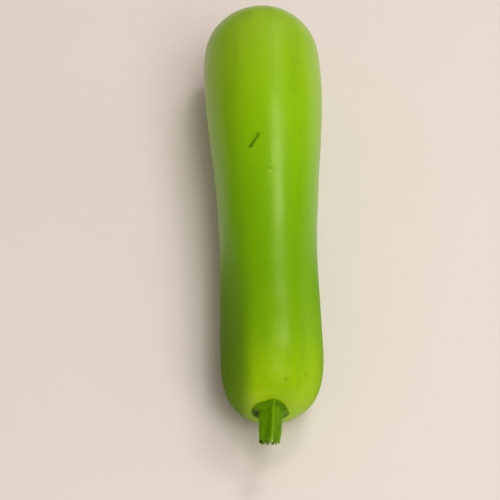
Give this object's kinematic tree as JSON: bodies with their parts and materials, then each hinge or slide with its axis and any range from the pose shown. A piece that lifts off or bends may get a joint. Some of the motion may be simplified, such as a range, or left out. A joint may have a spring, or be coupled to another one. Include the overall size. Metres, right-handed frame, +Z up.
{
  "type": "bottle gourd",
  "caption": "Long pale green bottle gourd lying on its side, wider at the blossom end, with a short ridged cut stem on a lobed collar.",
  "frame": {"origin": "on the surface that the gourd rests on, under the middle of its whole box", "axes": "+Z up, +Y along the fruit from the stem towards the blossom end, +X to one side"},
  "size_m": [0.082, 0.353, 0.0816],
  "materials": {
    "skin": "satin",
    "stalk": "matte"
  },
  "bodies": {
    "root": {"fruit": "skin", "stem": "stalk"}
  },
  "joints": []
}
